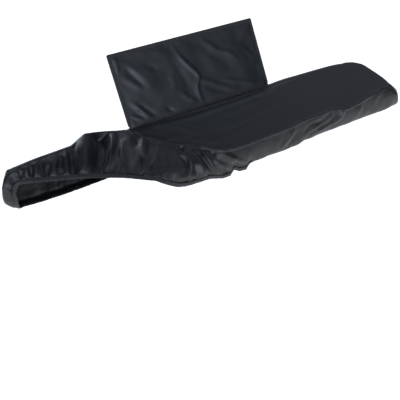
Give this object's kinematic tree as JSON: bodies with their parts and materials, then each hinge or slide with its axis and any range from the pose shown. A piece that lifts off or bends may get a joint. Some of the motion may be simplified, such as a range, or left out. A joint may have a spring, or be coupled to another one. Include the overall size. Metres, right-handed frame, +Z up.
{
  "type": "piano cover",
  "caption": "Fitted cloth dust cover for a full-size digital piano, draped with its front left skirt pushed back over the keys, with an elastic hem and a raised sleeve for the music rest.",
  "frame": {"origin": "the mount instrument_top: a point on the underside of the top panel, over the piano's back ledge, midway along the cover", "axes": "+X along the keyboard from the bass end to the treble end, +Y from the player to the back, +Z up"},
  "size_m": [1.4179, 0.3715, 0.3604],
  "materials": {
    "top_cloth": "satin",
    "skirt_cloth": "satin",
    "elastic_band": "matte",
    "sleeve_cloth": "satin",
    "binding_tape": "matte"
  },
  "bodies": {
    "root": {"top_panel": "top_cloth", "skirt": "skirt_cloth", "hem_elastic": "elastic_band", "sleeve_front": "sleeve_cloth", "sleeve_back": "sleeve_cloth", "sleeve_binding": "binding_tape"}
  },
  "joints": []
}
